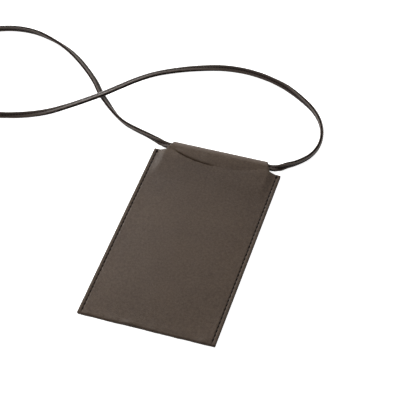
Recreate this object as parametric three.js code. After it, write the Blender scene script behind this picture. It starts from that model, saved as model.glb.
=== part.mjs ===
// Neck pouch: a flat leather pouch with a strap tunnel across its top, lying on its back, and its neck strap.
// Millimetres, +Z up. The origin is on the surface that it lies on, under the middle of the pouch with its tunnel.
// +Y runs along the pouch towards the tunnel, +X to the right of someone who reads it with the tunnel at the top.
import * as THREE from "three";

// Driving dimensions
const bodyWidth = 110;
const bodyLength = 187;
const tunnelReach = 11; // the tunnel's crest stands this far past the pouch's top corners
const leather = 1.3;
const gap = 0.3;
const strapWidth = 5.2;
const strapThickness = 2.8; // two layers of leather
const seamInset = 3; // the side seams, in from the edges
const seamEndInset = 1; // and in from the pouch's foot and top corners
const threadWidth = 0.7;

// Heights and places worked out from them
const bottomY = -(bodyLength + tunnelReach) / 2;
const cornerY = bottomY + bodyLength;
const crestY = cornerY + tunnelReach;
const frontLow = leather + gap; // underside of the front leather where it lies on the back
const bottomBendRadius = leather + gap / 2;
const cavityHeight = strapThickness + 2 * gap;
const tunnelBendRadius = leather + cavityHeight / 2;
const bottomBendY = bottomY + bottomBendRadius;
const tunnelBendY = crestY - tunnelBendRadius;

// The tab that makes the tunnel is narrower than the pouch, and narrowest at its crest
const tabRootHalf = 45.6;
const tabCrestHalf = 41.5;
const lapHalf = 45;
const lapEndHalf = 40;
const lapEndY = cornerY - 12;
const slopeTopY = cornerY + 3.3;
const slopeFootY = cornerY + 0.2;

// The mouth: the front leather's top edge, straight at its ends, with a shallow scoop between
const scoopHalf = 38;
const scoopDepth = 8;

// The front leather's shape over what lies under it
const crownHeight = 0.9;
const crownHalf = 50;
const crownRun = 40; // the crown grows over this length from the foot
const mouthRise = leather + gap;
const riseStartY = lapEndY - 24;
const riseFullY = lapEndY - 4;
const riseInnerHalf = 46.2;
const riseOuterHalf = 51;

// The strap
const tunnelStrapHalf = 41;
const strapTunnelY = crestY - 5;
const strapTunnelZ = leather + gap + strapThickness / 2;
const strapEnd = tunnelStrapHalf + gap;
const strapChamfer = 0.5;
const strapStep = 12;
const coilCenter = new THREE.Vector2(-253, 113);
const coilMeanRadius = 26.1;
const coilBand = 9.3;
const coilHeight = strapWidth;

const bodyColor = 0x574c43;
const strapColor = 0x5a504b;
const threadColor = 0x1e1a18;

const object = new THREE.Group();
object.name = "neck_pouch";

function addMesh(name, geometry, color, roughness = 0.6) {
  const material = new THREE.MeshStandardMaterial({ color, roughness, metalness: 0 });
  const mesh = new THREE.Mesh(geometry, material);
  mesh.name = name;
  object.add(mesh);
  return mesh;
}

function shapeOf(points) {
  return new THREE.Shape(points.map(([x, y]) => new THREE.Vector2(x, y)));
}

function plate(points, thickness) {
  return new THREE.ExtrudeGeometry(shapeOf(points), { depth: thickness, bevelEnabled: false });
}

// A profile drawn in (y, z), extruded along X and centred on it
function extrudeAcross(points, width) {
  const geometry = plate(points, width);
  geometry.applyMatrix4(new THREE.Matrix4().makeBasis(
    new THREE.Vector3(0, 1, 0),
    new THREE.Vector3(0, 0, 1),
    new THREE.Vector3(1, 0, 0),
  ));
  geometry.translate(-width / 2, 0, 0);
  return geometry;
}

function smoothstep(value, low, high) {
  return THREE.MathUtils.smoothstep(value, low, high);
}

// Points of an arc about (y, z), angles in degrees from +Y towards +Z
function arc(centerY, centerZ, radius, from, to, steps) {
  const points = [];
  for (let i = 0; i <= steps; i += 1) {
    const angle = THREE.MathUtils.degToRad(from + ((to - from) * i) / steps);
    points.push([centerY + radius * Math.cos(angle), centerZ + radius * Math.sin(angle)]);
  }
  return points;
}

// Back leather: the whole back and the lower half of the tunnel's tab
function addBackPanel() {
  const half = bodyWidth / 2;
  const low = bottomBendY + gap / 2;
  const high = tunnelBendY - gap / 2;
  const outline = [
    [-half, low],
    [half, low],
    [half, cornerY],
    [tabRootHalf, cornerY],
    [tabCrestHalf, high],
    [-tabCrestHalf, high],
    [-tabRootHalf, cornerY],
    [-half, cornerY],
  ];
  addMesh("back_panel", plate(outline, leather), bodyColor);
}

// The same leather turns up at the pouch's foot
function addBottomFold() {
  const inner = bottomBendRadius - leather;
  const outside = arc(bottomBendY, bottomBendRadius, bottomBendRadius, 270, 90, 8);
  const inside = arc(bottomBendY, bottomBendRadius, inner, 90, 270, 4);
  addMesh("bottom_fold", extrudeAcross([...outside, ...inside], bodyWidth), bodyColor);
}

// The y of the mouth's edge: a circular scoop that starts scoopHalf from the middle
function mouthEdgeY(x) {
  const radius = (scoopHalf ** 2 + scoopDepth ** 2) / (2 * scoopDepth);
  if (Math.abs(x) >= scoopHalf) {
    return cornerY;
  }
  return cornerY + radius - scoopDepth - Math.sqrt(radius ** 2 - x ** 2);
}

// How far the front leather stands above the back one: a slight crown, and a rise over the tunnel's lap
function frontLift(x, y) {
  const across = Math.max(0, 1 - (x / crownHalf) ** 2);
  const along = smoothstep(y, bottomY, bottomY + crownRun);
  const rise = smoothstep(y, riseStartY, riseFullY) * (1 - smoothstep(Math.abs(x), riseInnerHalf, riseOuterHalf));
  return Math.max(crownHeight * across * along * (1 - rise), 0) + mouthRise * rise;
}

// Front leather: a sheet on a grid that follows the mouth's edge
function addFrontPanel() {
  const half = bodyWidth / 2;
  const columns = [-half, -riseOuterHalf, -48.5, -riseInnerHalf, -42, -scoopHalf, -30, -20, -10, 0];
  const xs = [...columns, ...columns.slice(0, -1).reverse().map((x) => -x)];
  const low = bottomBendY + gap / 2;
  const shares = [0, 0.1, 0.22, 0.38, 0.54, 0.7, 0.78, 0.84, 0.9, 0.95, 1]; // rows, closer near the mouth
  const vertices = [];
  for (const level of [0, leather]) {
    for (const share of shares) {
      for (const x of xs) {
        const y = low + (mouthEdgeY(x) - low) * share;
        vertices.push(x, y, frontLow + frontLift(x, y) + level);
      }
    }
  }
  const across = xs.length;
  const layer = across * shares.length;
  const indices = [];
  const quad = (a, b, c, d) => indices.push(a, b, c, a, c, d);
  for (let row = 0; row + 1 < shares.length; row += 1) {
    for (let column = 0; column + 1 < across; column += 1) {
      const a = row * across + column;
      quad(a, a + across, a + across + 1, a + 1);
      quad(layer + a, layer + a + 1, layer + a + across + 1, layer + a + across);
    }
    const left = row * across;
    const right = left + across - 1;
    quad(left, layer + left, layer + left + across, left + across);
    quad(right, right + across, layer + right + across, layer + right);
  }
  const lastRow = layer - across;
  for (let column = 0; column + 1 < across; column += 1) {
    quad(column, column + 1, layer + column + 1, layer + column);
    const far = lastRow + column;
    quad(far, layer + far, layer + far + 1, far + 1);
  }
  const geometry = new THREE.BufferGeometry();
  geometry.setAttribute("position", new THREE.Float32BufferAttribute(vertices, 3));
  geometry.setIndex(indices);
  addMesh("front_panel", geometry, bodyColor);
}

// Each end of a sheet is drawn in to the tab's width at that y
function taperSides(geometry, startHalf, widthAt) {
  const position = geometry.attributes.position;
  for (let i = 0; i < position.count; i += 1) {
    position.setX(i, (position.getX(i) / startHalf) * widthAt(position.getY(i)));
  }
  return geometry;
}

// The tab turns over the strap and comes down in front of it
function addTunnelFold() {
  const top = 2 * tunnelBendRadius;
  const low = tunnelBendY;
  const outside = arc(low, tunnelBendRadius, tunnelBendRadius, -90, 90, 10);
  const inside = arc(low, tunnelBendRadius, tunnelBendRadius - leather, 90, -90, 8);
  const profile = [
    ...outside,
    [slopeTopY, top],
    [slopeFootY, frontLow + leather],
    [slopeFootY, frontLow],
    [slopeTopY, top - leather],
    ...inside,
  ];
  const widthAt = (y) => THREE.MathUtils.mapLinear(Math.min(y, low), cornerY, low, tabRootHalf, tabCrestHalf);
  const geometry = extrudeAcross(profile, 2 * tabRootHalf);
  addMesh("tunnel_fold", taperSides(geometry, tabRootHalf, widthAt), bodyColor);
}

// Its end lies inside the mouth, on the back leather
function addTunnelLap() {
  const high = slopeFootY - gap;
  const outline = [
    [-lapEndHalf, lapEndY],
    [lapEndHalf, lapEndY],
    [lapHalf, high],
    [-lapHalf, high],
  ];
  addMesh("tunnel_lap", plate(outline, leather).translate(0, 0, frontLow), bodyColor);
}

// The threads: one run along each side, and one along the lap's end, inside
function addThreads() {
  const seamX = bodyWidth / 2 - seamInset;
  const seamZ = frontLow + leather + gap;
  const low = bottomBendY + seamEndInset;
  const length = cornerY - seamEndInset - low;
  for (const [name, x] of [["left_seam_thread", -seamX], ["right_seam_thread", seamX]]) {
    const thread = new THREE.BoxGeometry(threadWidth, length, threadWidth);
    thread.translate(x, low + length / 2, seamZ + threadWidth / 2);
    addMesh(name, thread, threadColor, 0.8);
  }
  const lapThread = new THREE.BoxGeometry(2 * lapEndHalf - 4 * seamEndInset, threadWidth, threadWidth);
  lapThread.translate(0, lapEndY - gap - threadWidth / 2, frontLow + threadWidth / 2);
  addMesh("tunnel_seam_thread", lapThread, threadColor, 0.8);
}

// The strap's section: flat, with its long edges broken
function strapSection() {
  const a = strapThickness / 2;
  const b = strapWidth / 2;
  const c = strapChamfer;
  return shapeOf([
    [-a, -b + c],
    [-a + c, -b],
    [a - c, -b],
    [a, -b + c],
    [a, b - c],
    [a - c, b],
    [-a + c, b],
    [-a, b - c],
  ]);
}

function strapAlong(points) {
  const curve = new THREE.CatmullRomCurve3(points.map((p) => new THREE.Vector3(...p)), false, "centripetal");
  const steps = Math.ceil(curve.getLength() / strapStep);
  return new THREE.ExtrudeGeometry(strapSection(), { steps, extrudePath: curve, bevelEnabled: false });
}

// From the tunnel's right end round the open loop, over the other strand, to the coil
const rightRun = [
  [strapEnd, strapTunnelY, strapTunnelZ],
  [46.5, 94.1, 3],
  [52.1, 96.4, 3],
  [57, 100.8, 3],
  [62, 104.7, 2.9],
  [67.5, 110.4, 2.9],
  [72, 116.8, 2.9],
  [75.5, 126.4, 2.85],
  [76.5, 136.4, 2.8],
  [74.8, 148.4, 2.75],
  [69.5, 161.3, 2.75],
  [60, 173.7, 2.75],
  [46, 184.9, 2.8],
  [38, 190.1, 2.9],
  [29, 194.9, 3.0],
  [10.6, 201.2, 2.8],
  [-8.6, 204, 2.6],
  [-28.6, 202.5, 2.4],
  [-48.8, 196.8, 1.8],
  [-68.3, 187.5, 2.0],
  [-84.4, 175.7, 3.3],
  [-96.7, 161.9, 5.0],
  [-106.5, 148.1, 6.6],
  [-116.3, 134.7, 7.7],
  [-127, 124.5, 6.9],
  [-142.6, 112.6, 4.6],
  [-159.5, 101.3, 2.8],
  [-180, 91.4, 2.6],
  [-202, 85, 3],
  [-222, 83.4, 2.8],
  [-238.5, 83.2, 2.7],
];

// From the tunnel's left end, under the other strand and round to the coil, ending over its far side
const leftRun = [
  [-strapEnd, strapTunnelY, strapTunnelZ],
  [-46.4, 94.1, 3],
  [-51, 95.4, 3],
  [-55.7, 97.2, 3],
  [-65.8, 101, 2.9],
  [-77.4, 104.5, 3],
  [-88, 108.6, 3],
  [-97.2, 114.4, 3],
  [-105.5, 121.7, 2.95],
  [-112.6, 129, 2.8],
  [-118.5, 135, 2.75],
  [-123.4, 140.8, 2.7],
  [-130.5, 150.1, 2.75],
  [-141, 161.3, 2.75],
  [-155.5, 174.5, 2.75],
  [-169.6, 184.6, 2.8],
  [-187, 192.8, 2.95],
  [-207, 198.3, 2.95],
  [-227, 197.5, 2.75],
  [-246, 190, 2.7],
  [-262, 177, 2.8],
  [-272.5, 162, 3.2],
  [-277.5, 149, 5.04],
  [-278.4, 137.5, 6.9],
  [-275.6, 126.5, 7.4],
];

function addStrap() {
  const inTunnel = [-tunnelStrapHalf, 0, tunnelStrapHalf].map((x) => [x, strapTunnelY, strapTunnelZ]);
  addMesh("strap_in_tunnel", strapAlong(inTunnel), strapColor);
  addMesh("strap_right_run", strapAlong(rightRun), strapColor);
  addMesh("strap_left_run", strapAlong(leftRun), strapColor);
}

// The outer shape of the coil that holds the rest of the strap, its turns standing on edge
function addCoil() {
  const inner = coilMeanRadius - coilBand / 2;
  const outer = coilMeanRadius + coilBand / 2;
  const profile = [
    [inner, 0],
    [outer, 0],
    [outer, coilHeight],
    [inner, coilHeight],
    [inner, 0],
  ].map(([x, y]) => new THREE.Vector2(x, y));
  const ring = new THREE.LatheGeometry(profile, 32);
  ring.rotateX(Math.PI / 2);
  ring.translate(coilCenter.x, coilCenter.y, 0);
  addMesh("strap_coil", ring, strapColor);
}

addBackPanel();
addBottomFold();
addFrontPanel();
addTunnelFold();
addTunnelLap();
addThreads();
addStrap();
addCoil();

export default object;
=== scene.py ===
"""Looks of the neck pouch: one cut of leather folded and sewn, its seams, and its stitched neck strap."""

import math

import bpy
import numpy as np
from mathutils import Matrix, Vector, noise


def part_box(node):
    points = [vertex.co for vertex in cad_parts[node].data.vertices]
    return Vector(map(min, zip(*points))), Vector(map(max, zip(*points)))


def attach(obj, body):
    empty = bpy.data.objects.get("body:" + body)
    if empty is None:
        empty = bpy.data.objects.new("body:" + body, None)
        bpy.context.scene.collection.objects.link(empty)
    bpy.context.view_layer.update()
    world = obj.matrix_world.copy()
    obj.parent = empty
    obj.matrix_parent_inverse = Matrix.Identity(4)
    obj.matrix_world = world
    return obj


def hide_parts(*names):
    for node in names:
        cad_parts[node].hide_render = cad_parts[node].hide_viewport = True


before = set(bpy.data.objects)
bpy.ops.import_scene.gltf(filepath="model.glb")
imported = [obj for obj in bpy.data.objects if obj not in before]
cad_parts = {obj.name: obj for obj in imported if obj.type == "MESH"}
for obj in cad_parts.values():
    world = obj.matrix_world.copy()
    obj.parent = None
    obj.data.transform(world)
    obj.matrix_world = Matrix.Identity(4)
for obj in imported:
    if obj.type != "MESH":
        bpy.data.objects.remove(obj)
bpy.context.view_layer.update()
MM = 0.001

# ---------------------------------------------------------------------------------------------
# Sizes, in metres unless they say otherwise, and from the frame where it has them
# ---------------------------------------------------------------------------------------------
_, BACK_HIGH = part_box("back_panel")
_, FRONT_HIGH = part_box("front_panel")
_, FOLD_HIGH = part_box("tunnel_fold")
LAP_LOW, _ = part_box("tunnel_lap")
FOOT_LOW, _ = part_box("bottom_fold")
COIL_LOW, COIL_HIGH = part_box("strap_coil")

LEATHER = BACK_HIGH.z
HALF_WIDTH = BACK_HIGH.x
FOOT_Y = FOOT_LOW.y
CORNER_Y = FRONT_HIGH.y
CREST_Y = FOLD_HIGH.y
CREST_Z = FOLD_HIGH.z
LAP_END_Y = LAP_LOW.y
TAB_ROOT_HALF = 45.6 * MM
TAB_CREST_HALF = 41.3 * MM
LAP_END_HALF = 40 * MM
SCOOP_HALF = 38 * MM
SCOOP_DEPTH = 8 * MM
SEAM_X = HALF_WIDTH - 3 * MM
SEAM_PITCH = 4.45 * MM
SEAM_STITCH = 3.2 * MM  # the length of one stitch
FIRST_STITCH = 2.6 * MM
SEAM_SLANT = math.radians(7)
SEAM_THREAD = 0.95 * MM
TUNNEL_STITCH = 3.5 * MM
TUNNEL_STITCHES = 17

STRAP_PITCH = 2.5 * MM
STRAP_THREAD = 0.95 * MM
TUNNEL_Y = 94  # in millimetres, as the next two: the strap's middle line in the tunnel
TUNNEL_Z = 3
TUNNEL_END_X = 41.3
JOIN_HALF = 20 * MM  # the strap's ends are joined in the middle of the tunnel, over twice this length
JOIN_GAP = 0.3 * MM  # between the join and the strap's own end faces
JOIN_STITCHES = 7
JOIN_MIDDLE = 0.72  # in millimetres, as the next: from the strap's middle to that of each thinned end
JOIN_HALF_LAYER = 0.6

# ---------------------------------------------------------------------------------------------
# Camera
# ---------------------------------------------------------------------------------------------
CAMERA_AZIMUTH = math.radians(17.35)
CAMERA_ELEVATION = math.radians(46.42)
CAMERA_DISTANCE = 1.22
CAMERA_AIM = Vector((-1.2, 43.9, 0)) * MM
LENS_MM = 134.4
SENSOR_MM = 36


def add_camera():
    direction = Vector((
        math.sin(CAMERA_AZIMUTH) * math.cos(CAMERA_ELEVATION),
        -math.cos(CAMERA_AZIMUTH) * math.cos(CAMERA_ELEVATION),
        math.sin(CAMERA_ELEVATION),
    ))
    data = bpy.data.cameras.new("camera")
    data.lens = LENS_MM
    data.sensor_width = SENSOR_MM
    data.clip_start = 0.05
    camera = bpy.data.objects.new("camera", data)
    camera.location = CAMERA_AIM + direction * CAMERA_DISTANCE
    camera.rotation_euler = direction.to_track_quat("Z", "Y").to_euler()
    bpy.context.scene.collection.objects.link(camera)
    bpy.context.scene.camera = camera


# ---------------------------------------------------------------------------------------------
# Mesh helpers
# ---------------------------------------------------------------------------------------------
def mesh_object(name, vertices, faces, material_slots, face_slots=None, smooth=True):
    mesh = bpy.data.meshes.new(name)
    mesh.from_pydata([tuple(v) for v in vertices], [], [tuple(f) for f in faces])
    for material in material_slots:
        mesh.materials.append(material)
    if face_slots is not None:
        mesh.polygons.foreach_set("material_index", np.asarray(face_slots, np.int32))
    mesh.polygons.foreach_set("use_smooth", np.full(len(mesh.polygons), smooth))
    mesh.update()
    obj = bpy.data.objects.new(name, mesh)
    bpy.context.scene.collection.objects.link(obj)
    return obj


def smoothstep(value, low, high):
    t = np.clip((np.asarray(value, float) - low) / (high - low), 0, 1)
    return t * t * (3 - 2 * t)


POINTS_PER_SPAN = 16


def centripetal(rows):
    """Points of a centripetal Catmull-Rom curve through rows whose first three numbers are the place."""
    rows = np.asarray(rows, float)
    rows = np.vstack([2 * rows[0] - rows[1], rows, 2 * rows[-1] - rows[-2]])
    found = []
    for i in range(len(rows) - 3):
        p = rows[i : i + 4]
        steps = np.sqrt(np.linalg.norm(np.diff(p[:, :3], axis=0), axis=1))
        k = np.concatenate([[0], np.cumsum(steps)])
        t = np.linspace(k[1], k[2], POINTS_PER_SPAN, endpoint=False)[:, None]
        a = [p[j] + (p[j + 1] - p[j]) * (t - k[j]) / (k[j + 1] - k[j]) for j in range(3)]
        b = [a[j] + (a[j + 1] - a[j]) * (t - k[j]) / (k[j + 2] - k[j]) for j in range(2)]
        found.append(b[0] + (b[1] - b[0]) * (t - k[1]) / (k[2] - k[1]))
    return np.vstack([*found, rows[-2]])


def even_steps(rows, count):
    """The same curve, with count + 1 points evenly spaced along it."""
    reach = np.concatenate([[0], np.cumsum(np.linalg.norm(np.diff(rows[:, :3], axis=0), axis=1))])
    at = np.linspace(0, reach[-1], count + 1)
    return np.stack([np.interp(at, reach, rows[:, i]) for i in range(rows.shape[1])], 1)


def length_of(rows):
    return float(np.linalg.norm(np.diff(rows[:, :3], axis=0), axis=1).sum())


# ---------------------------------------------------------------------------------------------
# The neck strap: its route from each end of the tunnel to the coil: x, y, z in millimetres, roll in degrees.
# Roll 0 lies flat with the outer face up, and 90 stands on edge with that face to the right of the way along.
# ---------------------------------------------------------------------------------------------
RIGHT_RUN = [
    (TUNNEL_END_X, TUNNEL_Y, TUNNEL_Z, 0),
    (46.5, 94.1, 3, 6),
    (52.1, 96.4, 3, 60),
    (57, 100.8, 3, 87),
    (62, 104.7, 2.9, 99),
    (67.5, 110.4, 2.9, 102),
    (72, 116.8, 2.9, 104),
    (75.5, 126.4, 2.85, 101),
    (76.5, 136.4, 2.8, 96),
    (74.8, 148.4, 2.75, 88),
    (69.5, 161.3, 2.75, 84),
    (60, 173.7, 2.75, 86),
    (46, 184.9, 2.8, 95),
    (38, 190.1, 2.9, 106),
    (29, 194.9, 3.0, 124),
    (10.6, 201.2, 2.8, 140),
    (-8.6, 204, 2.6, 146),
    (-28.6, 202.5, 2.4, 155),
    (-48.8, 196.8, 1.8, 174),
    (-68.3, 187.5, 2.0, 188),
    (-84.4, 175.7, 3.3, 193),
    (-96.7, 161.9, 5.0, 194),
    (-106.5, 148.1, 6.6, 194),
    (-116.3, 134.7, 7.7, 194),
    (-127, 124.5, 6.9, 194),
    (-142.6, 112.6, 4.6, 191),
    (-159.5, 101.3, 2.8, 175),
    (-180, 91.4, 2.6, 148),
    (-202, 85, 3, 115),
    (-222, 83.4, 2.8, 95),
    (-238.5, 83.2, 2.7, 90),
]
LEFT_RUN = [
    (-TUNNEL_END_X, TUNNEL_Y, TUNNEL_Z, 0),
    (-46.4, 94.1, 3, 6),
    (-51, 95.4, 3, 48),
    (-55.7, 97.2, 3, 80),
    (-65.8, 101, 2.9, 101),
    (-77.4, 104.5, 3, 108),
    (-88, 108.6, 3, 114),
    (-97.2, 114.4, 3, 120),
    (-105.5, 121.7, 2.95, 130),
    (-112.6, 129, 2.8, 142),
    (-118.5, 135, 2.75, 147),
    (-123.4, 140.8, 2.7, 147),
    (-130.5, 150.1, 2.75, 145),
    (-141, 161.3, 2.75, 145),
    (-155.5, 174.5, 2.75, 146),
    (-169.6, 184.6, 2.8, 138),
    (-187, 192.8, 2.95, 122),
    (-207, 198.3, 2.95, 105),
    (-227, 197.5, 2.75, 95),
    (-246, 190, 2.7, 90),
    (-262, 177, 2.8, 82),
    (-272.5, 162, 3.2, 65),
    (-277.5, 149, 5.04, 38),
    (-278.4, 137.5, 6.9, 12),
    (-275.6, 126.5, 7.4, 2),
]
COIL_OUTER = 29.3  # the coil's first and outer turn, at the middle of the strap's thickness
COIL_PITCH = 3.1
COIL_TURN_POINTS = 20
COIL_END_DEGREES = 730
COIL_ROLL = 90
COIL_Z = 2.62
# the coil's last stretch climbs over the turns outside it: degrees round the coil, radius, height and roll
COIL_CLIMB = [
    (745, 22.6, 3.1, 88),
    (760, 21.7, 4.6, 82),
    (775, 21.3, 6.3, 70),
    (790, 21.8, 7.5, 47),
    (805, 23.0, 7.7, 22),
    (820, 24.8, 7.3, 7),
]


def coil_point(degrees, radius, height, roll):
    center = (COIL_LOW + COIL_HIGH) / 2 / MM
    angle = math.radians(-90 - degrees)
    return (center.x + radius * math.cos(angle), center.y + radius * math.sin(angle), height, roll)


def strap_route():
    """The whole strap, from the join in the tunnel round to it again: places in metres, rolls in radians."""
    start = [(JOIN_HALF / MM, TUNNEL_Y, TUNNEL_Z, 0), (30, TUNNEL_Y, TUNNEL_Z, 0)]
    end = [(-x, y, z, roll) for x, y, z, roll in start[::-1]]
    step = 360 / COIL_TURN_POINTS
    coil = [
        coil_point(d, COIL_OUTER - COIL_PITCH * d / 360, COIL_Z, COIL_ROLL)
        for d in np.arange(step / 2, COIL_END_DEGREES, step)
    ]
    climb = [coil_point(*c) for c in COIL_CLIMB]
    rows = np.array(start + RIGHT_RUN + coil + climb + LEFT_RUN[::-1] + end, float)
    rows[:, :3] *= MM
    rows[:, 3] = np.radians(rows[:, 3])
    return centripetal(rows)


# The upper right quarter of the strap's outline, in millimetres, from the line between its layers inwards
STRAP_QUARTER = [
    (2.12, 0.0), (2.2, 0.16), (2.4, 0.36), (2.56, 0.58), (2.6, 0.8), (2.56, 1.06), (2.44, 1.26),
    (2.2, 1.37), (1.9, 1.4), (1.2, 1.4), (0.74, 1.37), (0.5, 1.28), (0.26, 1.2),
]
LAYER = 1.4  # the thickness of each of its two layers
CHANNEL_FLOOR = 1.18
CHANNEL_HALF = 0.5
STITCH_DIP = 0.05  # how much deeper the channel is at each stitch hole
STRAP_MATERIALS = ("strap", "strap_edge", "strap_glue", "strap_channel")
STRAP_FACE, STRAP_EDGE, STRAP_GLUE, STRAP_CHANNEL = range(4)


def strap_section():
    """The outline (across, through) once round, and how deep each point is in a stitch channel."""
    upper = STRAP_QUARTER + [(0.0, CHANNEL_FLOOR)] + [(-a, b) for a, b in STRAP_QUARTER[::-1]]
    outline = upper + [(a, -b) for a, b in upper[-2:0:-1]]
    outline = np.array(outline)
    channel = np.clip(1 - np.abs(outline[:, 0]) / CHANNEL_HALF, 0, 1) * np.sign(outline[:, 1])
    return outline, channel


def strap_slots(outline):
    """The material of each face round the outline."""
    middles = np.abs(outline + np.roll(outline, -1, axis=0)) / 2
    across, through = middles[:, 0], middles[:, 1]
    slots = np.full(len(outline), STRAP_FACE)
    slots[(across > 2.3) & (through < 1.32)] = STRAP_EDGE
    slots[(across > 2.1) & (through < 0.5)] = STRAP_GLUE
    slots[across < 0.65] = STRAP_CHANNEL
    return slots


def strap_frames(rows):
    """The directions across the strap and through its thickness, at each point of the route."""
    tangent = np.gradient(rows[:, :3], axis=0)
    tangent /= np.linalg.norm(tangent, axis=1)[:, None]
    right = np.cross(tangent, (0, 0, 1))
    right /= np.linalg.norm(right, axis=1)[:, None]
    up = np.cross(right, tangent)
    roll = rows[:, 3:4]
    through = up * np.cos(roll) + right * np.sin(roll)
    across = right * np.cos(roll) - up * np.sin(roll)
    return across, through


def add_strap(materials):
    route = strap_route()
    length = length_of(route)
    stitches = round(length / STRAP_PITCH)
    rows = even_steps(route, 2 * stitches)
    across, through = strap_frames(rows)
    outline, channel = strap_section()
    count = len(outline)
    hole = np.where(np.arange(len(rows)) % 2 == 0, STITCH_DIP, 0.0)  # between one stitch and the next
    depth = outline[None, :, 1] - hole[:, None] * channel[None, :]
    rings = (
        rows[:, None, :3]
        + across[:, None] * outline[None, :, 0:1] * MM
        + through[:, None] * depth[:, :, None] * MM
    )
    vertices = rings.reshape(-1, 3)
    around = strap_slots(outline)
    faces, slots = [], []
    for r in range(len(rows) - 1):
        for i in range(count):
            j = (i + 1) % count
            faces.append((r * count + i, r * count + j, (r + 1) * count + j, (r + 1) * count + i))
            slots.append(around[i])
    faces.append(tuple(range(count))[::-1])
    faces.append(tuple((len(rows) - 1) * count + i for i in range(count)))
    slots += [STRAP_FACE, STRAP_FACE]
    strap = mesh_object("neck_strap", vertices, faces, [materials[m] for m in STRAP_MATERIALS], slots)
    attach(strap, "strap")
    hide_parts("strap_right_run", "strap_left_run", "strap_coil")

    thread_v, thread_f = [], []
    for k in range(stitches):
        a, m, b = 2 * k, 2 * k + 1, 2 * k + 2
        middle = rows[m, :3]
        along = rows[b, :3] - rows[a, :3]
        for side in (1, -1):
            lift = through[m] * side
            add_stitch(
                thread_v, thread_f, middle + lift * (CHANNEL_FLOOR * MM + STRAP_THREAD * 0.18),
                along, lift, STRAP_PITCH * 0.55, STRAP_THREAD, sides=6, rings=4, flat=0.55,
            )
    thread = mesh_object("strap_stitches", thread_v, thread_f, [materials["strap_thread"]])
    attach(thread, "strap")
    return length


def add_strap_join(materials):
    """The strap's two ends, each thinned to half, laid over each other in the tunnel and sewn together."""
    outline, _ = strap_section()
    middle = np.array((0, TUNNEL_Y, TUNNEL_Z)) * MM
    leather, edge, sewing = range(3)
    vertices, faces, slots = [], [], []
    count = len(outline)
    for side in (1, -1):
        base = len(vertices)
        for x in (-JOIN_HALF + JOIN_GAP, JOIN_HALF - JOIN_GAP):
            for across, through in outline:
                height = side * (JOIN_MIDDLE + JOIN_HALF_LAYER * through / LAYER)
                vertices.append(middle + np.array((x, across * MM, height * MM)))
        for i in range(count):
            j = (i + 1) % count
            faces.append((base + i, base + j, base + count + j, base + count + i))
            slots.append(edge if abs(outline[i, 0]) > 2.2 else leather)
        faces.append(tuple(base + i for i in range(count))[::-1])
        faces.append(tuple(base + count + i for i in range(count)))
        slots += [edge, edge]
    for k in range(JOIN_STITCHES):
        x = -JOIN_HALF + (k + 0.5) * 2 * JOIN_HALF / JOIN_STITCHES
        for side in (1, -1):
            at = middle + np.array((x, 0, side * (1.32 * MM - STRAP_THREAD * 0.1)))
            before = len(faces)
            add_stitch(
                vertices, faces, at, (1, 0, 0), (0, 0, side), STRAP_PITCH, STRAP_THREAD, sides=6, rings=4,
            )
            slots += [sewing] * (len(faces) - before)
    join = mesh_object(
        "strap_join", vertices, faces,
        [materials["strap"], materials["strap_edge"], materials["strap_thread"]], slots, smooth=False,
    )
    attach(join, "strap")
    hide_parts("strap_in_tunnel")


STITCH_TAPER = 0.5  # how much thinner a stitch is at its ends
STITCH_DIVE = 0.55  # how far down its ends go, in widths of the thread
TIP_DIVE = 0.9  # how far down its tips go, in the same widths
TIP_REACH = 1.06  # how far out its tips reach, in halves of its length


def add_stitch(vertices, faces, middle, along, up, length, width, sides=8, rings=6, slant=0.0, flat=0.75):
    """Adds one stitch: a short rounded run of thread whose ends dive into the leather.

    slant turns it away from its row, and flat is its section's height over its width.
    """
    along = np.array(along, float)
    along /= np.linalg.norm(along)
    up = np.array(up, float)
    up /= np.linalg.norm(up)
    side = np.cross(along, up)
    along = along * math.cos(slant) + side * math.sin(slant)
    side = np.cross(along, up)
    base = len(vertices)
    for r in range(rings):
        t = -1 + 2 * (r + 0.5) / rings
        size = width / 2 * (1 - STITCH_TAPER * t * t)
        centre = np.array(middle) + along * t * length / 2 - up * width * STITCH_DIVE * t**4
        for s in range(sides):
            angle = 2 * math.pi * s / sides
            vertices.append(centre + side * size * math.cos(angle) + up * size * flat * math.sin(angle))
    for end in (-1, 1):
        vertices.append(np.array(middle) + along * end * length / 2 * TIP_REACH - up * width * TIP_DIVE)
    for r in range(rings - 1):
        for s in range(sides):
            t = (s + 1) % sides
            a, b = base + r * sides, base + (r + 1) * sides
            faces.append((a + s, b + s, b + t, a + t))
    first, last = base + rings * sides, base + rings * sides + 1
    for s in range(sides):
        t = (s + 1) % sides
        faces.append((first, base + s, base + t))
        faces.append((last, base + (rings - 1) * sides + t, base + (rings - 1) * sides + s))


# ---------------------------------------------------------------------------------------------
# The body leather: one sheet that starts at the mouth's edge, goes down the front, round the foot and up the
# back, over the strap and down again into the mouth. All its numbers are in millimetres.
# ---------------------------------------------------------------------------------------------
HALF = LEATHER / MM / 2  # half of the leather's thickness
BODY_HALF = HALF_WIDTH / MM
FOOT = FOOT_Y / MM
CORNER = CORNER_Y / MM
CREST = CREST_Y / MM
TAB_TOP = CREST_Z / MM
ARCH_REACH = 5.5  # the tunnel arches over from this far before its crest
TAB_BEND_Y = CREST - ARCH_REACH
ARCH_POWER = 0.8  # 1 would be an ellipse; less is fuller, and clears the strap's edges
TAB_NARROW_Y = CREST - TAB_TOP / 2
LAP_END = LAP_END_Y / MM
FRONT_SEAM_Z = 2 * LEATHER / MM + 0.12  # the front's surface where both layers are sewn together
FOOT_RADIUS = FRONT_SEAM_Z / 2 - HALF
ROW_STEP = SEAM_PITCH / MM / 4
SEAM_START = CORNER - 1.1
SEAM_STITCHES = 41
BACK_THREAD_Z = 0.3  # the middle of the stitches that show on the back
SCOOP_ROWS_FROM = CORNER - 30
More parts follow.
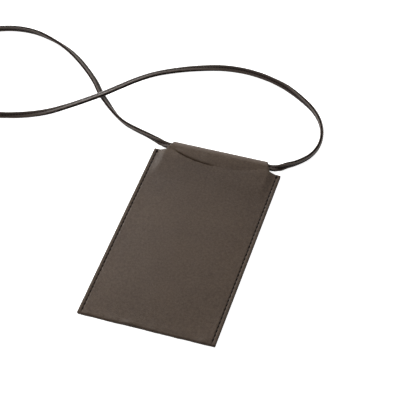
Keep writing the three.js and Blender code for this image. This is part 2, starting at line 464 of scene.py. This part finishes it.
OPEN_LEFT, OPEN_RIGHT = -36, -5  # the mouth gapes a little between these

# how far the front rises above its seams
CROWN_RISE = 0.9  # in its middle
LAP_RISE = 1.5  # over the tab's end
CORNER_RISE = 0.75  # beside the tab's end, near the front's corners
LIP_RISE = 0.45  # at the mouth, where it gapes
FOOT_RISE = 0.9  # in the uneven folds just above the foot
SLOT_DEPTH = 1.8  # how deep the dark slot is between the gaping mouth and the tab

# how far the sheet's closest columns and rows are from its cut edges, a seam's middle and the mouth
EDGE_STEPS = (0, 0.1, 0.28, 0.55, 0.95, 1.5)
SEAM_STEPS = (0.75, 0.5, 0.28, 0, -0.28, -0.5, -0.75, -1.3, -2.2)
MOUTH_STEPS = (0, 0.1, 0.28, 0.6)
MOUTH_ROWS = 5  # how many rows are near enough to the mouth to be shaped by its cut edge
FAR = 9  # stands for a distance that is too long to matter
EDGE_ROUNDING = 0.6  # how far from a cut edge the leather starts to get thinner
EDGE_THINNING = 0.55  # the share of its thickness that is gone at the edge
BODY_MATERIALS = ("body", "flesh", "edge", "channel")
OUTSIDE, INSIDE, CUT_EDGE, SEAM_CHANNEL = range(4)


def mouth_y(x):
    radius = (SCOOP_HALF**2 + SCOOP_DEPTH**2) / (2 * SCOOP_DEPTH) / MM
    across = np.minimum(np.abs(x), SCOOP_HALF / MM)
    return CORNER + radius - SCOOP_DEPTH / MM - np.sqrt(radius**2 - across**2)


def gape(x):
    """How open the mouth is along its edge: 0 where it lies tight on the tab, 1 where it gapes."""
    return smoothstep(x, OPEN_LEFT - 3, OPEN_LEFT + 5) * (1 - smoothstep(x, OPEN_RIGHT - 6, OPEN_RIGHT + 8))


def waves(x, y, size, seed):
    """Smooth random heights between -1 and 1 over places x and y."""
    flat = [noise.noise((a / size, b / size, seed)) for a, b in zip(np.ravel(x), np.ravel(y))]
    return np.reshape(flat, np.shape(x))


def front_z(x, y):
    """Height of the front's outer surface: crowned inside the seams, and raised over the tab's end."""
    crown = CROWN_RISE * np.clip(1 - (x / 50) ** 2, 0, 1) * smoothstep(y, FOOT, FOOT + 40)
    rise = smoothstep(y, LAP_END - 24, LAP_END) * (1 - smoothstep(np.abs(x), 43.6, 50.8))
    ends = CORNER_RISE * smoothstep(y, CORNER - 14, CORNER) * smoothstep(np.abs(x), 14, 40)
    lip = LIP_RISE * gape(x) * smoothstep(y - mouth_y(x), -9, 0)
    foot = FOOT_RISE * (1 - smoothstep(y, FOOT + 1, FOOT + 9)) * np.clip(waves(x, y, 8, 3.3) + 0.1, 0, 1)
    inside = 1 - smoothstep(np.abs(x), 47, 51)
    swell = (0.16 * waves(x, y, 38, 1.7) + 0.05 * waves(x, y, 13, 5.1)) * inside
    return FRONT_SEAM_Z + crown * (1 - rise) + LAP_RISE * rise + ends * rise + lip + foot * inside + swell


STRAP_CLEARANCE = [  # y, and the height that the tab's outer surface stays above, to clear the strap under it
    (CORNER + 2.2, 0), (CORNER + 2.9, 5.2), (CORNER + 3.6, 5.66), (CORNER + 5, 5.88), (TAB_BEND_Y, TAB_TOP),
]
SLOT_FLOOR = 2.72  # the lowest that the tab's outer surface goes, where it lies flat on the back


def tab_z(x, y):
    """Height of the tab's outer surface, from the bend over the strap down into the mouth."""
    edge = mouth_y(x)
    lip = front_z(x, edge)
    share = np.clip((y - edge) / (TAB_BEND_Y - edge), 0, 1)
    share = 1.14 * share**2 / (share + 0.14)  # a soft start, so that the closed lip shows no crease
    ramp = lip + (TAB_TOP - lip) * (1 - (1 - share) ** 1.4)
    clear = np.interp(y, *np.transpose(STRAP_CLEARANCE))
    outside = np.log(np.exp(5 * ramp) + np.exp(5 * clear)) / 5  # the higher of the two, with a soft turn
    outside = np.minimum(outside, TAB_TOP)
    slot = SLOT_DEPTH * gape(x) * (1 - smoothstep(y - edge, 1.0, 1.9))
    under = front_z(x, y) - 2 * HALF - 0.05
    return np.where(y >= edge, np.maximum(outside - slot, SLOT_FLOOR), under)


def tab_half(y, turned):
    """Half of the tab's width: narrowest at the crest, on the lower and on the turned side."""
    root, crest, end = TAB_ROOT_HALF / MM, TAB_CREST_HALF / MM, LAP_END_HALF / MM
    if not turned:
        return np.interp(y, [CORNER, TAB_NARROW_Y], [root, crest])
    return np.interp(y, [LAP_END, CORNER - 1, CORNER, TAB_NARROW_Y], [end, root - 1, root - 0.3, crest])


def sheet_columns():
    """Places across the sheet: close together at its edges, the tab's edges and the seams."""
    seam = SEAM_X / MM
    rim = [BODY_HALF - d for d in EDGE_STEPS]
    channel = [seam + d for d in SEAM_STEPS]
    root = TAB_ROOT_HALF / MM
    shoulder = [48.6, 47.4, 46.4] + [root - d for d in EDGE_STEPS]
    inner = list(np.linspace(root - 2.4, 0, 41))
    half = rim + channel + shoulder + inner
    return np.array([-c for c in half] + half[-2::-1])


def sheet_rows():
    """The sheet's rows from the mouth's edge on: the stretch of leather, and the y, angle or share in it."""
    seam_rows = [SEAM_START - ROW_STEP * k for k in range(4 * SEAM_STITCHES + 1)]
    panel = [CORNER - d for d in MOUTH_STEPS] + seam_rows
    rows = [("front", y) for y in panel]
    rows += [("foot", angle) for angle in np.linspace(90, 270, 13)]
    rows += [("back", y) for y in panel[::-1]]
    rows += [("tab_back", y) for y in np.linspace(CORNER, TAB_BEND_Y, 9)[1:-1]]
    rows += [("bend", angle) for angle in np.linspace(-90, 90, 17)]
    rows += [("slope", 1 - (1 - t) ** 1.6) for t in np.linspace(0, 1, 23)[1:]]
    rows += [("lap", share) for share in (0.03, 0.08, 0.2, 0.4, 0.6, 0.8, 0.93, 0.97, 0.99, 1)]
    return rows


def sheet_middle(kind, value, x):
    """The middle surface's points in one row of the sheet, for columns that stand at x on the flat blank."""
    root = TAB_ROOT_HALF / MM
    if kind == "front":
        share = (value - SCOOP_ROWS_FROM) / (CORNER - SCOOP_ROWS_FROM)
        y = np.full_like(x, value) if share <= 0 else SCOOP_ROWS_FROM + (mouth_y(x) - SCOOP_ROWS_FROM) * share
        return x, y, front_z(x, y) - HALF
    if kind == "foot":
        angle = math.radians(value)
        wander = 1.2 * waves(x, x * 0, 17, 8.2) + 0.5 * waves(x, x * 0, 6, 2.4)
        ease = math.cos(angle) ** 2
        top = front_z(x, np.full_like(x, FOOT + HALF + FOOT_RADIUS)) - HALF
        center = (top + HALF) / 2
        y = FOOT + HALF + FOOT_RADIUS + FOOT_RADIUS * math.cos(angle) + (wander + 0.3) * ease
        return x, y, center + (top - center) * math.sin(angle)
    if kind == "back":
        return x, np.full_like(x, value), np.full_like(x, HALF)
    if kind == "tab_back":
        return x * tab_half(value, False) / root, np.full_like(x, value), np.full_like(x, HALF)
    if kind == "bend":
        angle = math.radians(value)
        y = TAB_BEND_Y + (ARCH_REACH - HALF) * math.cos(angle) ** ARCH_POWER
        rise = math.copysign(abs(math.sin(angle)) ** ARCH_POWER, angle)
        z = TAB_TOP / 2 + (TAB_TOP / 2 - HALF) * rise
        return x * tab_half(y, value > 0) / root, np.full_like(x, y), np.full_like(x, z)
    edge = mouth_y(x) + 0.05
    start, end = (TAB_BEND_Y, edge) if kind == "slope" else (edge - 0.4, LAP_END)
    y = start + (end - start) * value
    width = tab_half(y, True)
    return x * width / root, y, tab_z(x, y) - HALF


def edge_inset(middle, columns, kinds, body, in_tab):
    """How near each point is to a cut edge: 0 inside the leather, and 1 on the edge."""
    row = np.arange(len(kinds))[:, None]
    beside = np.abs(columns)[None, :]
    below_mouth = np.where(row < MOUTH_ROWS + 1, np.abs(middle[0, :, 1] - middle[:, :, 1]), FAR)
    of_body = np.minimum(BODY_HALF - beside, below_mouth)
    of_tab = np.where(in_tab, TAB_ROOT_HALF / MM - np.abs(columns), FAR)
    distance = np.where(body[:, None], of_body, of_tab[None, :])
    to_end = np.linalg.norm(middle - middle[-1:], axis=2)
    distance = np.where(kinds[:, None] == "lap", np.minimum(distance, to_end), distance)
    back_corner = (kinds[:, None] == "back") & ~in_tab[None, :]
    distance = np.where(back_corner, np.minimum(distance, CORNER - middle[:, :, 1]), distance)
    inset = np.clip(1 - distance / EDGE_ROUNDING, 0, 1)
    at_mouth = (row < MOUTH_ROWS) & (beside < 46)  # the closed lip keeps nearly its full thickness
    return inset * np.where(at_mouth, 0.1 + 0.9 * gape(columns)[None, :], 1)


def sheet_faces(index, count, columns, kinds):
    """Faces and their materials: the outer and the inner surface, and the cut edge all round between them."""
    faces, slots = [], []
    border = {}
    for r in range(index.shape[0] - 1):
        for c in range(index.shape[1] - 1):
            corners = [index[r, c], index[r, c + 1], index[r + 1, c + 1], index[r + 1, c]]
            if min(corners) < 0:
                continue
            faces.append(corners[::-1])
            seam_off = abs(abs(columns[c] + columns[c + 1]) / 2 - SEAM_X / MM)
            slots.append(SEAM_CHANNEL if seam_off < 0.5 and kinds[r] in ("front", "back") else OUTSIDE)
            faces.append([count + i for i in corners])
            slots.append(INSIDE)
            for a, b in zip(corners, corners[1:] + corners[:1]):
                if (b, a) in border:
                    del border[(b, a)]
                else:
                    border[(a, b)] = True
    for a, b in border:
        faces.append([a, b, count + b, count + a])
        slots.append(CUT_EDGE)
    return faces, slots


def add_leather(materials):
    columns, rows = sheet_columns(), sheet_rows()
    across, down = len(columns), len(rows)
    middle = np.zeros((down, across, 3))
    for r, (kind, value) in enumerate(rows):
        middle[r, :, 0], middle[r, :, 1], middle[r, :, 2] = sheet_middle(kind, value, columns)
    normal = np.cross(np.gradient(middle, axis=1), -np.gradient(middle, axis=0))
    normal /= np.linalg.norm(normal, axis=2)[:, :, None]

    kinds = np.array([kind for kind, _ in rows])
    body = np.isin(kinds, ("front", "foot", "back"))
    in_tab = np.abs(columns) <= TAB_ROOT_HALF / MM + 0.001
    half = HALF * (1 - EDGE_THINNING * edge_inset(middle, columns, kinds, body, in_tab) ** 2)
    outer = middle + normal * (half - seam_groove(columns, rows, middle))[:, :, None]
    inner = middle - normal * half[:, :, None]

    here = body[:, None] | in_tab[None, :]
    count = int(here.sum())
    index = -np.ones((down, across), int)
    index[here] = np.arange(count)
    vertices = np.vstack([outer[here], inner[here]]) * MM
    faces, slots = sheet_faces(index, count, columns, kinds)
    leather = mesh_object("leather_body", vertices, faces, [materials[m] for m in BODY_MATERIALS], slots)
    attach(leather, "pouch")
    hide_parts("back_panel", "bottom_fold", "front_panel", "tunnel_fold", "tunnel_lap")


def seam_groove(columns, rows, middle):
    """Depth of the stitch channels and holes below the outer surface."""
    off = np.abs(np.abs(columns) - SEAM_X / MM)
    channel = 0.3 * np.clip(1 - (off / 0.8) ** 2, 0, 1)
    hole = 0.35 * np.clip(1 - (off / 0.45) ** 2, 0, 1)
    depth = np.zeros(middle.shape[:2])
    for r, (kind, value) in enumerate(rows):
        if kind not in ("front", "back") or value > SEAM_START + 0.01:
            continue
        step = round((SEAM_START - value) / ROW_STEP)
        depth[r] = channel + (hole if step % 4 == 0 else 0)
    return depth


def add_side_stitches(materials):
    for name, side in (("left_seam", -1), ("right_seam", 1)):
        vertices, faces = [], []
        x = side * SEAM_X / MM
        for k in range(SEAM_STITCHES):
            y = SEAM_START - (k + 0.5) * SEAM_PITCH / MM
            top = float(front_z(np.array([x]), np.array([y]))[0])
            for z, up in ((top - 0.12, 1), (BACK_THREAD_Z, -1)):
                at = np.array((x, y, z)) * MM
                add_stitch(
                    vertices, faces, at, (0, 1, 0), (0, 0, up), SEAM_STITCH, SEAM_THREAD, slant=SEAM_SLANT,
                )
            if k == 0:  # the seam starts with a doubled, tightly pulled stitch
                for shift in (-0.45, 0.45):
                    double = np.array((x + shift, y + 0.3, top + 0.1)) * MM
                    add_stitch(vertices, faces, double, (0, 1, 0), (0, 0, 1), FIRST_STITCH, SEAM_THREAD)
        stitches = mesh_object(name + "_stitches", vertices, faces, [materials["thread"]])
        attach(stitches, "pouch")
        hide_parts(name + "_thread")


def add_tunnel_stitches(materials):
    """A row across the tab's end, inside the mouth, that goes through to the back."""
    vertices, faces = [], []
    y = LAP_END + 2
    for k in range(TUNNEL_STITCHES):
        x = (k - (TUNNEL_STITCHES - 1) / 2) * SEAM_PITCH / MM
        top = float(tab_z(np.array([x]), np.array([y]))[0])
        for z, up in ((top - 0.1, 1), (BACK_THREAD_Z, -1)):
            at = np.array((x, y, z)) * MM
            add_stitch(
                vertices, faces, at, (1, 0, 0), (0, 0, up), TUNNEL_STITCH, SEAM_THREAD, slant=SEAM_SLANT,
            )
    stitches = mesh_object("tunnel_seam_stitches", vertices, faces, [materials["thread"]])
    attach(stitches, "pouch")
    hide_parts("tunnel_seam_thread")


# ---------------------------------------------------------------------------------------------
# Materials
# ---------------------------------------------------------------------------------------------
def srgb(r, g, b):
    """A colour given as 0 to 255 sRGB, in the linear numbers that the shaders take."""
    values = [c / 255 for c in (r, g, b)]
    return tuple(c / 12.92 if c <= 0.04045 else ((c + 0.055) / 1.055) ** 2.4 for c in values)


class Nodes:
    """Short names for building one material's nodes."""

    def __init__(self, name):
        self.material = bpy.data.materials.new(name)
        self.material.use_nodes = True
        self.tree = self.material.node_tree
        self.bsdf = self.tree.nodes["Principled BSDF"]
        coordinates = self.tree.nodes.new("ShaderNodeTexCoord")
        mapping = self.tree.nodes.new("ShaderNodeMapping")
        mapping.inputs["Scale"].default_value = (1 / MM,) * 3  # textures are in millimetres
        self.link(coordinates.outputs["Object"], mapping.inputs["Vector"])
        self.place = mapping.outputs["Vector"]

    def link(self, a, b):
        self.tree.links.new(a, b)

    def add(self, kind, **values):
        node = self.tree.nodes.new(kind)
        for key, value in values.items():
            if key in ("operation", "feature"):
                setattr(node, key, value)
            else:
                node.inputs[key].default_value = value
        return node

    def noise(self, scale, detail, roughness=0.55):
        node = self.add("ShaderNodeTexNoise", Scale=scale, Detail=detail, Roughness=roughness)
        self.link(self.place, node.inputs["Vector"])
        return node.outputs["Fac"]

    def cells(self, scale):
        node = self.add("ShaderNodeTexVoronoi", feature="SMOOTH_F1", Scale=scale)
        self.link(self.place, node.inputs["Vector"])
        return node.outputs["Distance"]

    def spread(self, value, from_low, from_high, to_low, to_high):
        node = self.add("ShaderNodeMapRange")
        self.link(value, node.inputs["Value"])
        numbers = {"From Min": from_low, "From Max": from_high, "To Min": to_low, "To Max": to_high}
        for key, number in numbers.items():
            node.inputs[key].default_value = number
        return node.outputs["Result"]

    def math(self, operation, a, b):
        node = self.add("ShaderNodeMath", operation=operation)
        for value, socket in ((a, node.inputs[0]), (b, node.inputs[1])):
            if isinstance(value, (int, float)):
                socket.default_value = value
            else:
                self.link(value, socket)
        return node.outputs[0]

    def mix(self, factor, a, b):
        node = self.tree.nodes.new("ShaderNodeMix")
        node.data_type = "RGBA"
        self.link(factor, node.inputs["Factor"])
        for value, socket in ((a, node.inputs["A"]), (b, node.inputs["B"])):
            if isinstance(value, tuple):
                socket.default_value = (*value, 1)
            else:
                self.link(value, socket)
        return node.outputs["Result"]

    def along_y(self):
        node = self.tree.nodes.new("ShaderNodeSeparateXYZ")
        self.link(self.place, node.inputs["Vector"])
        return node.outputs["Y"]

    def bump(self, height, depth):
        node = self.add("ShaderNodeBump", Distance=depth * MM)
        self.link(height, node.inputs["Height"])
        self.link(node.outputs["Normal"], self.bsdf.inputs["Normal"])


def grain_leather(name, dark, light, roughness, gloss, cell=0.8, depth=0.16, painted_shading_bands=(), painted_crest_highlight=None):
    """Fine pebbled leather: rounded grain cells, creases between them, a mottle, and clouds in the dye."""
    n = Nodes(name)
    cells = n.cells(1 / cell)
    pores = n.noise(3.2, 4.0, 0.6)
    mottle = n.noise(0.55, 2.0, 0.6)
    clouds = n.noise(0.03, 2.0, 0.5)
    tint = n.math("ADD", n.spread(clouds, 0.35, 0.65, 0.05, 0.2), n.spread(mottle, 0.32, 0.68, 0.0, 0.5))
    shade = n.math("ADD", tint, n.spread(cells, 0.1, 0.6, 0.3, 0.0))
    y = n.along_y()
    for start, end, change in painted_shading_bands:  # from y = start to y = end the colour turns this much lighter or darker: painted light and shade
        shade = n.math("ADD", shade, n.spread(y, start, end, 0.0, change))
    color = n.mix(shade, dark, light)
    if painted_crest_highlight:  # from y = start to y = end it turns to another colour: a painted highlight
        start, end, highlight_color = painted_crest_highlight
        color = n.mix(n.spread(y, start, end, 0.0, 1.0), color, highlight_color)
    n.link(color, n.bsdf.inputs["Base Color"])
    height = n.math("SUBTRACT", n.math("MULTIPLY", pores, 0.5), cells)
    n.bump(height, depth)
    n.link(n.spread(clouds, 0.3, 0.7, roughness - 0.04, roughness + 0.05), n.bsdf.inputs["Roughness"])
    n.bsdf.inputs["Specular IOR Level"].default_value = gloss
    return n.material


def speckled(name, dark, light, roughness, gloss, scale, detail, contrast, depth, fineness=0.55):
    """A plain material: a fine mottle between two colours, and a bump that follows it."""
    n = Nodes(name)
    mottle = n.noise(scale, detail, fineness)
    color = n.mix(n.spread(mottle, 0.5 - contrast, 0.5 + contrast, 0.0, 1.0), dark, light)
    n.link(color, n.bsdf.inputs["Base Color"])
    n.bump(mottle, depth)
    n.bsdf.inputs["Roughness"].default_value = roughness
    n.bsdf.inputs["Specular IOR Level"].default_value = gloss
    return n.material


def darker(color, share):
    return tuple(c * share for c in color)


def painted_edge(name, color, roughness, gloss=0.12):
    return speckled(name, darker(color, 0.75), color, roughness, gloss, 2.0, 3.0, 0.2, 0.05)


def suede(name, dark, light):
    return speckled(name, dark, light, 0.95, 0.2, 6.0, 6.0, 0.2, 0.08, fineness=0.7)


def twisted_thread(name, color):
    return speckled(name, darker(color, 0.55), color, 0.7, 0.1, 9.0, 2.0, 0.15, 0.05)


def make_materials():
    return {
        "body": grain_leather(
            "body_leather", srgb(61, 49, 40), srgb(83, 69, 57), 0.55, 0.18,
            painted_shading_bands=[(20, 62, -0.2), (78, 91, 0.4)],  # painted shade over the pouch's upper part, and painted light from the mouth up the tab's slope
            # a painted highlight along the crest where the leather bends over the strap
            painted_crest_highlight=(CREST - 6.5, CREST - 0.5, srgb(108, 96, 88)),
        ),
        "flesh": suede("body_leather_inside", srgb(58, 47, 38), srgb(76, 63, 52)),
        "edge": painted_edge("body_leather_edge", srgb(30, 24, 20), 0.6),
        "channel": painted_edge("body_leather_channel", srgb(66, 54, 45), 0.7),
        "strap": grain_leather(
            "strap_leather", srgb(53, 44, 38), srgb(72, 61, 54), 0.5, 0.25, cell=0.5, depth=0.08,
        ),
        "strap_edge": painted_edge("strap_edge", srgb(97, 84, 76), 0.5, gloss=0.25),
        "strap_glue": painted_edge("strap_glue_line", srgb(6, 5, 5), 0.8, gloss=0.02),
        "strap_channel": painted_edge("strap_stitch_channel", srgb(62, 52, 47), 0.8, gloss=0.05),
        "strap_thread": twisted_thread("strap_thread", srgb(12, 9, 8)),
        "thread": twisted_thread("seam_thread", srgb(14, 9, 7)),
    }


# ---------------------------------------------------------------------------------------------
# Light, floor and the run
# ---------------------------------------------------------------------------------------------
LIGHTS = [  # name, place, the point it is aimed at, diameter, watts, and whether glossy surfaces show it
    ("key", (-1.5, 0.55, 1.65), (-0.02, 0.02, 0), 1.0, 32, True),
    ("fill", (-0.28, -0.17, 0.26), (-0.05, -0.02, 0), 0.2, 0.5, False),
    ("back", (0.55, 1.1, 0.95), (-0.02, 0.03, 0), 0.9, 5.5, True),
    ("rim", (-0.95, 1.25, 0.4), (0, 0.09, 0), 0.6, 17, True),
]
WORLD_LIGHT = 0.16
FLOOR_HALF = 6.0
FLOOR_COLOR = (0.93, 0.93, 0.93, 1)
FLOOR_GLOW = 0.88  # makes the floor plain white in the picture
WHITE = (1, 1, 1, 1)


def add_lights():
    for name, place, target, size, power, glossy in LIGHTS:
        data = bpy.data.lights.new(name, "AREA")
        data.shape = "DISK"
        data.size = size
        data.energy = power
        light = bpy.data.objects.new(name, data)
        light.location = place
        light.visible_glossy = glossy
        light.rotation_euler = (Vector(place) - Vector(target)).to_track_quat("Z", "Y").to_euler()
        bpy.context.scene.collection.objects.link(light)
    world = bpy.data.worlds.new("studio")
    world.use_nodes = True
    background = world.node_tree.nodes["Background"]
    background.inputs["Color"].default_value = WHITE
    background.inputs["Strength"].default_value = WORLD_LIGHT
    bpy.context.scene.world = world


def add_floor():
    material = bpy.data.materials.new("floor_white")
    material.use_nodes = True
    bsdf = material.node_tree.nodes["Principled BSDF"]
    bsdf.inputs["Base Color"].default_value = FLOOR_COLOR
    bsdf.inputs["Roughness"].default_value = 0.9
    bsdf.inputs["Specular IOR Level"].default_value = 0.1
    bsdf.inputs["Emission Color"].default_value = WHITE
    bsdf.inputs["Emission Strength"].default_value = FLOOR_GLOW
    corners = [(x * FLOOR_HALF, y * FLOOR_HALF, 0) for x, y in ((-1, -1), (1, -1), (1, 1), (-1, 1))]
    floor = mesh_object("floor", corners, [(0, 1, 2, 3)], [material], smooth=False)
    floor.visible_diffuse = False  # its bounce would flatten the sides that stand away from the key light


add_camera()
materials = make_materials()
strap_length = add_strap(materials)
add_strap_join(materials)
add_leather(materials)
add_side_stitches(materials)
add_tunnel_stitches(materials)
add_lights()
add_floor()
bpy.context.scene.view_settings.view_transform = "Standard"
bpy.context.scene.view_settings.look = "None"

print("strap length", round(strap_length, 4))
